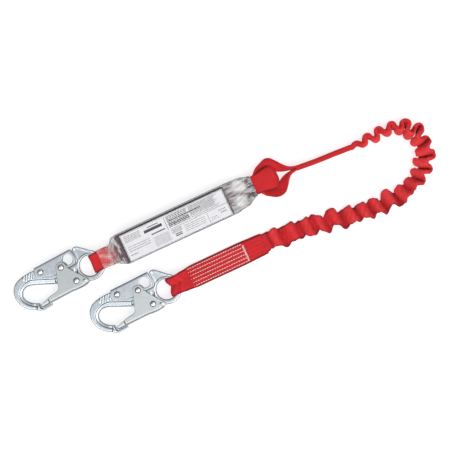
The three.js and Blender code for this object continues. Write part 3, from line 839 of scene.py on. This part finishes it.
def stamp(name, shape, places, material):
    """One mesh made of the same small shape set down at many places, each a 4x4 in millimetres."""
    verts, faces = shape
    points = np.concatenate([verts @ np.array(m)[:3, :3].T + np.array(m)[:3, 3] for m in places])
    count = len(verts)
    all_faces = [tuple(v + i * count for v in face) for i in range(len(places)) for face in faces]
    return add_object(name, points, all_faces, material)


def place(x, y, z, turn=0.0, size=(1, 1, 1)):
    return Matrix.LocRotScale(Vector((x, y, z)), Matrix.Rotation(turn, 3, "Z"), Vector(size))


def add_stitching(upper_side):
    """Rows of lock stitch along the terminal, and the bar tack across their inner end."""
    rows = 6
    places = []
    for row in range(rows):
        y = TERMINAL_Y + 4.9 * (row - (rows - 1) / 2)
        for k in range(24):
            x = -12 + 1.6 * (row % 2) + 3.5 * k
            if x < 69:
                here, ahead = np.interp((x - 1, x + 1), *upper_side.T)
                tilt = Matrix.Rotation(atan2(here - ahead, 2), 4, "Y")
                places.append(place(x, y, (here + ahead) / 2 + 0.15, 0.05 * sin(5 * k + row)) @ tilt)
    stitches = stamp("terminal_stitches", pill(2.8, 1.25, 0.9), places, THREAD)
    zigzag = []
    for k in range(28):
        odd = k % 2
        where = (68.6 + 0.9 * odd, TERMINAL_Y - 11.5 + 0.78 * k, 6.05)
        zigzag.append(place(*where, radians(20 if odd else -20), (0.75, 0.8, 0.9)))
    tack = stamp("terminal_bar_tack", pill(2.9, 1.15, 0.9), zigzag, THREAD)
    stand_for(stitches, "terminal_stitching")
    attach(tack, "lanyard")


add_choke()
add_leg_end_loop()
add_hook_end_loop()
add_stitching(add_terminal())


# -------- energy absorber pack

LABEL_Y = -1.4


def serpentine(left, right, low, high):
    """Points in X and Z of a web folded back and forth from its lowest layer to its highest."""
    layers = len(left)
    radius = (high - low) / layers / 2
    points = [(left[0], low + radius)]
    for i in range(layers - 1):
        z = low + radius + 2 * radius * i
        end, way = (left[i], -1) if i % 2 else (right[i], 1)
        for k in range(7):
            a = pi * (k / 6 - 0.5)
            points.append((end + way * radius * cos(a), z + radius + radius * sin(a)))
    points.append((right[-1] if layers % 2 else left[-1], high - radius))
    return points


def add_folds():
    """The tear webbing and the backup strap, folded inside the film."""
    for name, low, high, left, right in (
        ("tear_webbing", 0.9, 11.05, (-80, -84, -84, -82), (76, 76, 74, 74)),
        ("backup_webbing", 16.35, 25.3, (-80, -82, -82), (74, 74, 78.2)),
    ):
        line = even_line([(x, -0.2, z) for x, z in serpentine(left, right, low, high)], 1.0)
        half_w = keyed(line[:, :1], (-90, 15.4), (-76, 20.3), (70, 20.6), (82, 19.6))
        half_t = (high - low) / len(left) / 2 - 0.15
        web = ribbon(f"{name}_folds", line, TO_Y, half_w, half_t, DARK, 14)
        stand_for(web, name)


def add_label():
    """The paper label under the film, with plain rules and bars in place of its printing."""
    line = side_line([(-74, 25.85), (-40, 25.9), (0, 25.92), (40, 25.9), (75.5, 25.85)], LABEL_Y, 1.5)
    x = line[:, :1]

    def push(share):
        return (0.1 * np.sin(x / 17.0) * np.cos(share * 2.2))[..., None] * UP

    sheet = ribbon("label_sheet", line, TO_Y, 18.75, 0.13, PAPER, 16, push)
    stand_for(sheet, "pack_label")


def bars(tone, boxes, lower=0.0):
    """Thin printed bars on the label, each (x0, x1, y0, y1) in millimetres from the label's middle line."""
    verts, faces = [], []
    for x0, x1, y0, y1 in boxes:
        n = len(verts)
        for z in (26.0, 26.13 + lower):
            for x, y in ((x0, y0), (x1, y0), (x1, y1), (x0, y1)):
                verts.append((x, y + LABEL_Y, z + 0.1 * sin(x / 17.0) * cos(y / 19 * 2.2)))
        faces += [(n, n + 3, n + 2, n + 1), (n + 4, n + 5, n + 6, n + 7)]
        faces += [(n + a, n + b, n + b + 4, n + a + 4) for a, b in ((0, 1), (1, 2), (2, 3), (3, 0))]
    made = add_object(f"label_print_{tone}", verts, faces, PRINTS[tone], smooth=False, slot="label_paper")
    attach(made, "lanyard")


def words(x0, x1, y, tall, seed, fill=0.72):
    """A row of short bars of uneven length, which stands for a line of print."""
    boxes = []
    x = x0
    k = seed
    while x < x1 - 1:
        k = (k * 73 + 41) % 101
        end = min(x + 1.4 + 4.2 * (k % 17) / 17, x1)
        boxes.append((x, end, y - tall / 2, y + tall / 2))
        x = end + (1 - fill) * 2.6
    return boxes


def frame_bars(x0, x1, y0, y1, w):
    """The four bars of a rectangle's outline."""
    across = [(x0, x1, y0, y0 + w), (x0, x1, y1 - w, y1)]
    return across + [(x0, x0 + w, y0 + w, y1 - w), (x1 - w, x1, y0 + w, y1 - w)]


def add_print():
    """Four tones of generic rules, blocks and rows in place of the label's print."""
    dark = [(-42, -16, 7.4, 11.2), (-36, -20, 13.0, 14.0), (-11, -10.5, -1.2, 16.6), (-8, 30, -2.0, -1.6)]
    dark += [(-5, 4.5, -11.2, -10.0), (-5, 4.5, -13.6, -12.2)]
    grey = [(-34, -14, 1.6, 3.2), (28, 74, -1.2, -0.7), (44, 44.4, -16.8, -2.0)]
    grey += frame_bars(-73.2, 74.7, -18.2, 18.0, 0.35) + frame_bars(-8, 6, -8.4, -3.2, 0.4)
    grey += words(-70, -60, -11.5, 1.0, 5) + words(-6.6, 5, -4.9, 0.8, 47) + words(-6.6, 5, -6.7, 0.8, 51)
    grey += words(60, 70, -6.0, 0.9, 71) + words(62, 70, -9.6, 1.3, 73)
    pale = words(47, 57, -13.5, 0.7, 79) + words(47, 57, -11.0, 0.7, 83)
    for count, x0, x1, top, pitch, tall, seed in (
        (5, -70, -47, 14.5, 1.9, 0.8, 3),
        (3, -70, -38, -0.5, 3.0, 0.8, 11),
        (4, 10, 40, -5.0, 2.6, 0.7, 61),
    ):
        for i in range(count):
            pale += words(x0, x1, top - i * pitch, tall, seed + i)
    for i in range(8):
        y = 15.6 - i * 2.05
        reach = 18 * (i == 3)
        if i in (3, 5, 6):
            dark += words(-8, 22 + reach, y, 1.5, 17 + i, 0.86)
        else:
            grey += words(-8, 22, y, 1.05, 17 + i)
        pale += words(24 + reach, 66 - 3 * (i % 3), y, 0.8, 29 + i)
    bars("dark", dark)
    bars("grey", grey)
    bars("pale", pale)
    bars("tint", [(-34, -11.5, -15.5, -2.0), (24, 60, 4, 16.5)], -0.03)


def add_film():
    """The shrink-film sleeve: tight over the folds and drawn in at both mouths."""
    xs = np.concatenate([np.linspace(-99, -76, 34), np.linspace(-75, 76, 76), np.linspace(77, 116, 52)])
    measures = (
        keyed(xs, (-94, -14.2), (-84, -18.8), (-77, -21.8), (80, -21.8), (98, -19.4), (116, -11.8)),
        keyed(xs, (-99, 13.6), (-94, 13.8), (-84, 21.2), (-78, 22.0), (80, 22.3), (97, 22.0), (116, 17.8)),
        keyed(xs, (-99, 7.2), (-94, 7.6), (-85, 1.2), (-78, 0.2), (80, 0.2), (98, 0.7), (116, 3.4)),
        keyed(xs, (-99, 19.4), (-94, 18.8), (-85, 25.6), (-78, 26.7), (80, 26.8), (98, 26.0), (116, 24.4)),
        keyed(xs, (-99, 2.6), (-80, 3.4), (80, 3.4), (116, 4.6)),
        keyed(
            xs, (-99, 0.45), (-90, 0.9), (-78, 0.12), (-60, 0.05), (74, 0.05), (84, 0.5), (104, 0.95),
            (116, 0.55)
        ),
    )
    around = 132
    share = np.arange(around) / around
    t = 2 * pi * share
    rings = []
    for x, y0, y1, z0, z1, radius, crinkle in zip(xs, *measures):
        y0, y1, z0, z1 = y0 + radius, y1 - radius, z0 + radius, z1 - radius
        quarter = pi * radius / 2
        stops = np.cumsum([0] + [y1 - y0, quarter, z1 - z0, quarter] * 2)
        at = stops[-1] * share
        turn = np.radians(np.interp(at, stops, (90, 90, 0, 0, -90, -90, -180, -180, -270)))
        y = np.interp(at, stops, (y0, y1, y1, y1, y1, y0, y0, y0, y0))
        z = np.interp(at, stops, (z1, z1, z1, z0, z0, z0, z0, z1, z1))
        pleat = np.sin(13 * t + 0.11 * x) + 0.6 * np.sin(23 * t - 0.23 * x + 1)
        pleat = pleat + 0.5 * np.sin(7 * t + 0.4 * x)
        reach = radius + crinkle * (0.45 * pleat - 0.5)
        height = np.maximum(z + reach * np.sin(turn), 0.15)
        rings.append(np.stack([np.full(around, x), y + reach * np.cos(turn), height], axis=1))
    film = add_object("film_sleeve", np.concatenate(rings), tube_faces(len(xs), around), FILM)
    solid = film.modifiers.new("thickness", "SOLIDIFY")
    solid.thickness = 0.25 * MM
    solid.offset = -1
    stand_for(film, "pack_sleeve")


add_folds()
add_label()
add_print()
add_film()


# -------- snap hooks

HOOKS = (("hook_1", -126.8, -1.1, 3.4), ("hook_2", -47.2, -72.9, 1.7))
GATE_PIVOT = (-24.4, -9.6)
LEVER_PIVOT = (-61.8, 23.3)
LOCK_PIN = (-34.4, 15.8)
THUMB_WINDOW = (-22.4, 21.2)
EYE_RADIUS = 13.6
SLANT = radians(-28)  # the way the ribs, the mark and the slot lean


def shade_smooth_group():
    """A node group that shades a whole mesh smooth."""
    group = bpy.data.node_groups.new("shade_smooth", "GeometryNodeTree")
    for way in ("INPUT", "OUTPUT"):
        group.interface.new_socket("Geometry", in_out=way, socket_type="NodeSocketGeometry")
    start, smooth, end = (
        group.nodes.new(kind) for kind in ("NodeGroupInput", "GeometryNodeSetShadeSmooth", "NodeGroupOutput")
    )
    group.links.new(start.outputs[0], smooth.inputs[0])
    group.links.new(smooth.outputs[0], end.inputs[0])
    return group


SMOOTH = shade_smooth_group()


def arc(centre, radius, start, end, steps=12):
    turn = np.radians(np.linspace(start, end, steps + 1))
    return np.stack([centre[0] + radius * np.cos(turn), centre[1] + radius * np.sin(turn)], axis=1)


def corner(start, past, end, steps=6):
    """A rounded corner, the quadratic curve from start to end that leans towards past."""
    t = np.linspace(0, 1, steps + 1)[:, None]
    a, b, c = (np.array(point, float) for point in (start, past, end))
    return (1 - t) ** 2 * a + 2 * t * (1 - t) * b + t**2 * c


def closed_line(points, spacing):
    """The closed outline through the points, at even steps."""
    p = np.concatenate([points, points[:1]])
    run = run_of(p)
    even = np.linspace(0, run[-1], round(run[-1] / spacing), endpoint=False)
    return np.stack([np.interp(even, run, column) for column in p.T], axis=1)


def to_line(points, line):
    """How far each point is from an open line."""
    best = np.full(len(points), 1e9)
    for a, b in zip(line[:-1], line[1:]):
        step = b - a
        t = np.clip((points - a) @ step / max(step @ step, 1e-12), 0, 1)
        best = np.minimum(best, np.linalg.norm(points - a - t[:, None] * step, axis=1))
    return best


def within(points, outline):
    """Whether each point is inside a closed outline."""
    x, y = points.T
    result = np.zeros(len(points), bool)
    for (x0, y0), (x1, y1) in zip(outline, np.roll(outline, -1, axis=0)):
        if y0 != y1:
            crosses = (y0 > y) != (y1 > y)
            result ^= crosses & (x < x0 + (y - y0) / (y1 - y0) * (x1 - x0))
    return result


def plate(outlines, spacing, rings, grid):
    """A flat mesh inside the first outline and outside the others, with finer rows along its edges.
    Gives its points, its triangles and how far each point is from the edge."""
    outlines = [closed_line(np.array(o, float), spacing) for o in outlines]

    def depth(points):
        far = np.min([to_line(points, np.concatenate([o, o[:1]])) for o in outlines], axis=0)
        inner = within(points, outlines[0])
        for hole in outlines[1:]:
            inner &= ~within(points, hole)
        return np.where(inner, far, -far)

    edges = []
    first = 0
    for o in outlines:
        edges += [(first + i, first + (i + 1) % len(o)) for i in range(len(o))]
        first += len(o)
    kept = list(outlines)
    for o in outlines:
        along = np.roll(o, -1, axis=0) - np.roll(o, 1, axis=0)
        normal = unit(np.stack([-along[:, 1], along[:, 0]], axis=1))
        for ring in rings:
            for row in (o + ring * normal, o - ring * normal):
                kept.append(row[depth(row) > ring - 0.02])
    low, high = outlines[0].min(axis=0), outlines[0].max(axis=0)
    x, y = np.meshgrid(np.arange(low[0], high[0], grid), np.arange(low[1], high[1], grid * 0.87))
    x = x + grid / 2 * (np.arange(len(x)) % 2)[:, None]
    field = np.stack([x.ravel(), y.ravel()], axis=1)
    kept.append(field[depth(field) > rings[-1] + grid * 0.5])
    found = delaunay_2d_cdt([Vector(p) for p in np.concatenate(kept)], edges, [], 0, 1e-4)
    flat = np.array([tuple(v) for v in found[0]])
    triangles = np.array(found[2])
    triangles = triangles[depth(flat[triangles].mean(axis=1)) > 0]
    return flat, triangles, np.maximum(depth(flat), 0)


def two_sided(triangles, top, bottom):
    """The points and faces of the closed solid between two placings of one flat mesh."""
    count = len(top)
    faces = [tuple(t) for t in triangles.tolist()]
    ways = {(t[i], t[(i + 1) % 3]) for t in faces for i in range(3)}
    rim = sorted((a, b) for a, b in ways if (b, a) not in ways)
    under = [(c + count, b + count, a + count) for a, b, c in faces]
    wall = [(b, a, a + count, b + count) for a, b in rim]
    return np.concatenate([top, bottom]), faces + under + wall


def mirrored_solid(flat, triangles, height):
    """The solid between a height over each point and as much under it."""
    return two_sided(triangles, np.column_stack([flat, height]), np.column_stack([flat, -height]))


def rounding(depth, radius):
    """How far a rounded edge drops below its face."""
    inset = np.clip(radius - depth, 0, radius)
    return radius - np.sqrt(radius**2 - inset**2)


BOW_THROAT = smooth_line(
    [
        (-84.5, -11.6), (-88.8, -9.0), (-94.0, -4.4), (-97.4, 1.4), (-97.4, 7.4), (-94.2, 12.0), (-88, 14.3),
        (-80.8, 13.2), (-75.4, 10.9),
    ],
    1.0,
)
BOW_OUTSIDE = smooth_line(
    [
        (-74, 30.3), (-89, 29.2), (-99.5, 25.4), (-105.9, 18), (-108.4, 7), (-105.7, -4.4), (-98.6, -13.6),
        (-91.5, -18.4), (-86, -22.6),
    ],
    1.0,
)


def forged_body():
    """The points and faces of the forged body, in the hook's own frame."""
    outline = [
        arc((0, 0), 20.5, -117, 58, 40),
        corner((-2.2, 30), (-5, 32.6), (-9, 31.6)),
        corner((-9, 31.6), (-11.2, 31), (-11.2, 28)),
        corner((-11.2, 17), (-11.2, 11), (-17, 11)),
        corner((-42, 11), (-46.5, 11), (-48.5, 15)),
        corner((-54.5, 26.5), (-56, 29.4), (-60, 29.6)),
        BOW_OUTSIDE,
        [(-84, -23.8), (-68.8, -23.2), (-68, -21.4), (-69, -20.5), (-83, -20.5), (-83, -12.4)],
        BOW_THROAT,
        corner((-47.4, -2.2), (-38, -6.4), (-31.4, -13.6)),
        arc(GATE_PIVOT, 8, -150, -60),
    ]
    eye = arc((0, 0), EYE_RADIUS, 0, 352.5, 47)
    flat, triangles, depth = plate([np.concatenate(outline), eye], 0.9, (0.15, 0.5, 1.1, 1.9), 0.75)
    x, y = flat.T
    nose = (y < -8) & (x < -60)
    from_eye = np.hypot(x, y) - EYE_RADIUS
    from_throat = to_line(flat, np.concatenate([BOW_THROAT, [(-47.4, -2.2)]]))

    # the shelf round the throat, lower than the rest, and the lip, thinner than the bow
    wide = 3.4 + 2.8 * rise(x, -96, -76)
    shelf = 0.06 * np.clip(wide - from_throat, 0, None) + 1.3 * rise(-from_throat, -wide - 1.5, -wide)
    height = 5.2 - 1.0 * rise(x, -84.8, -84.0) * nose - shelf * (1 - rise(x, -88.5, -86) * nose)

    # the ribs on the back, the groove and the slit in the nose, and the thumb guard's panel
    across = x * cos(SLANT) + y * sin(SLANT)
    ribs = rise(x, -88, -86) * (1 - rise(x, -71, -69)) * rise(y, 21.2, 22.4) * rise(depth, 1.3, 2.0)
    height = height + 0.55 * ribs * np.clip(1.6 * np.cos(across * 2 * pi / 3.4), -1, 1) * (y > 15)
    height = height - 1.4 * nose * np.clip(1 - np.abs(x * 0.91 - y * 0.41 + 75.2) / 1.9, 0, 1)
    height = height - 4.0 * np.clip(1 - np.abs(x + 83.6) / 0.8, 0, 1) * (y > -20) * (y < -13.2)
    guard = rise(depth, 2.2, 3.0) * rise(y, 12, 14) * rise(from_eye, 2.6, 3.4) * rise(x, -20, -12)
    height = height - 0.8 * guard

    # the plain mark by the eye and the deeper slot in the spine
    for (cx, cy), (long, short), drop in (((-19.3, 2.4), (2.9, 1.7), 0.9), ((-48.6, 4.2), (2.5, 1.0), 3.0)):
        u = (x - cx) * sin(-SLANT) + (y - cy) * cos(SLANT)
        v = (x - cx) * cos(SLANT) + (y - cy) * sin(SLANT)
        height = height - drop * (1 - rise(np.maximum(np.abs(u) - long, np.abs(v) - short), 0, 0.7))
    radius = np.where(from_eye < 2.5, 2.2, np.where(nose * (x > -84.4), 1.1, 1.7))
    radius = np.where((from_throat < 3) & ~nose, 2.4, radius)
    return mirrored_solid(flat, triangles, height - rounding(depth, radius))


def channel(half_outline, holes, back, toward, mid_z, radius, half_t, press=None):
    """The points and faces of a pressed channel. Its blank is laid out flat in X and the distance from
    its back, mirrored about the back's middle, then folded at the given radius of its middle surface."""
    middle = 2 * radius - pi / 2 * radius - mid_z

    def mirrored(points):
        return np.column_stack([points[:, 0], 2 * middle - points[:, 1]])[::-1]

    outlines = [np.concatenate([half_outline, mirrored(half_outline)])]
    for hole in holes:
        outlines += [hole, mirrored(hole)]
    flat, triangles, depth = plate(outlines, 0.8, (0.12, 0.4, 0.9), 1.0)
    x, s = flat.T
    side = np.where(s >= middle, 1.0, -1.0)
    s = middle + np.abs(s - middle)
    angle = np.clip((radius - s) / radius, 0, pi / 2)
    past = np.clip(radius - pi / 2 * radius - s, 0, None)
    y = back(x) + toward * np.where(s >= radius, s, radius - radius * np.sin(angle))
    z = mid_z - radius + radius * np.cos(angle) - past
    sheet = half_t - rounding(depth, 0.5)
    lift = 1.0 if press is None else press(x, y, s > radius)
    placings = []
    for way in (1, -1):
        out = y - way * toward * sheet * np.sin(angle)
        up = (z + way * sheet * np.cos(angle)) * lift
        placings.append(np.column_stack([x, out, side * up]))
    return two_sided(triangles, *placings)


def pressed_gate():
    """The gate's sheet: a channel along its bar, with an ear on each side round the lock pin."""
    edge = np.concatenate(
        [
            [(-81.3, -15.2), (-78.4, -14.2), (-68.8, -11.8), (-67.6, -11.2), (-55.5, -9.9)],
            corner((-55.5, -9.9), (-51.6, -9.0), (-50.4, -6.4)),
            arc(LOCK_PIN, 7.0, 172, -20, 20),
            [(-27.2, 12.4), (-18.4, -1.5), (-14.4, -7.6)],
            corner((-14.4, -7.6), (-10.4, -12.4), (-9.6, -16)),
        ]
    )
    low = [[(-90, -20), (-36, -20.1)], corner((-36, -20.1), (-24, -22.4), (-13, -20.4)), [(0, -20)]]
    low = np.concatenate(low)

    def back(x):
        return np.interp(x, *low.T) + 0.8

    def press(x, y, on_plate):
        tip = 1 - 0.24 * (1 - rise(x, -70.5, -68.6))
        return tip + 0.1 * on_plate * (1 - rise(np.hypot(x + 14.6, y + 14.4), 1.0, 2.6))

    half = np.column_stack([edge[:, 0], edge[:, 1] - back(edge[:, 0])])
    half = np.concatenate([half, [(-10.4, 1.2), (-13, 0.2)]])
    return channel(half, [], back, 1, 8.4, 3.2, 0.8, press)


def pressed_lever():
    """The lock lever's sheet: a channel over the spine, with the thumb window and the pin's slot."""
    plane = 31.65
    edge = np.concatenate(
        [
            arc(LEVER_PIVOT, 8.4, 145, 290, 16),
            corner((-58, 15), (-50, 11.2), (-44, 11)),
            [(-16.6, 11.4)],
            corner((-16.6, 11.4), (-12.8, 14.6), (-12.7, 22)),
            [(-12.9, 29.4)],
        ]
    )
    half = np.concatenate([[(-67.8, 0.6)], np.column_stack([edge[:, 0], plane - edge[:, 1]]), [(-13.4, 0.6)]])
    wide, narrow = 7.4, 3.0  # radii of the thumb window and of the slot that runs into it
    way = degrees(atan2(THUMB_WINDOW[1] - LOCK_PIN[1], THUMB_WINDOW[0] - LOCK_PIN[0]))
    meet = 180 - degrees(asin(narrow / wide))
    window = arc(THUMB_WINDOW, wide, way - meet, way + meet, 30)
    keyhole = np.concatenate([window, arc(LOCK_PIN, narrow, way + 90, way + 270, 10)])
    hole = np.column_stack([keyhole[:, 0], plane - keyhole[:, 1]])
    return channel(half, [hole], lambda x: np.full(len(x), plane), -1, 6.45, 1.7, 0.75)


def gate_tooth():
    """The points and faces of the solid tooth in the gate's tip, which meets the nose."""
    outline = [(-82.3, -15.6), (-82.3, -18.6), (-76, -18.6), (-76, -15.0)]
    flat, triangles, depth = plate([outline], 0.6, (0.2, 0.5, 1.0), 0.7)
    return mirrored_solid(flat, triangles, 4.6 - 1.8 * rounding(depth, 1.4))


def soften(node):
    """A CAD spring: welded, smoothed and given its material."""
    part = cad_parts[node]
    part.data.materials.clear()
    part.data.materials.append(SPRING)
    part.modifiers.new("weld", "WELD").merge_threshold = 0.01 * MM
    finer = part.modifiers.new("finer", "SUBSURF")
    finer.levels = finer.render_levels = 1
    part.modifiers.new("smooth", "NODES").node_group = SMOOTH


def domed_rivet(grip, sides=40):
    """The points and faces of a rivet: shank, and a flange and a dome at each end of its grip."""
    head, radius, tall = grip + 0.3, 4.3, 2.9
    dome = radius - 0.3
    half = [(2.4, 0), (2.4, head), (radius - 0.25, head), (radius, head + 0.25), (radius, head + 0.55)]
    for a in np.radians(np.arange(0, 90, 9)):
        half.append((dome * cos(a), head + 0.8 + (tall - 0.8) * sin(a)))
    half.append((0.15, head + tall))
    profile = [(r, -z) for r, z in reversed(half[1:])] + half
    turns = [2 * pi * j / sides for j in range(sides)]
    verts = [(r * cos(a), r * sin(a), z) for r, z in profile for a in turns]
    last = len(verts) - sides
    faces = tube_faces(len(profile), sides) + [tuple(range(first, first + sides)) for first in (0, last)]
    return np.array(verts), faces


SKINS = (
    ("body", "", forged_body(), FORGED),
    ("gate", "_gate", pressed_gate(), GATE),
    ("lock_lever", "_lock", pressed_lever(), LEVER),
)
TOOTH = gate_tooth()
RIVETS = (
    ("gate_rivet", "", GATE_PIVOT, 9.2),
    ("lever_rivet", "", LEVER_PIVOT, 7.2),
    ("lock_pin", "_gate", LOCK_PIN, 9.2),
)


def add_hook(name, x, y, yaw):
    at = Matrix.Translation((x, y, HOOK_MID_Z)) @ Matrix.Rotation(radians(yaw), 4, "Z")
    for part, body, shape, material in SKINS:
        made = stamp(f"{name}_{part}_skin", shape, [at], material)
        stand_for(made, f"{name}_{part}", body=name + body)
    tooth = stamp(f"{name}_gate_tooth", TOOTH, [at], GATE)
    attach(tooth, f"{name}_gate")
    for spring in ("gate_spring", "lever_spring"):
        soften(f"{name}_{spring}")
    for part, body, pivot, grip in RIVETS:
        where = at @ Matrix.Translation((*pivot, 0))
        made = stamp(f"{name}_{part}_domed", domed_rivet(grip), [where], CHROME)
        stand_for(made, f"{name}_{part}", body=name + body)


for hook in HOOKS:
    add_hook(*hook)
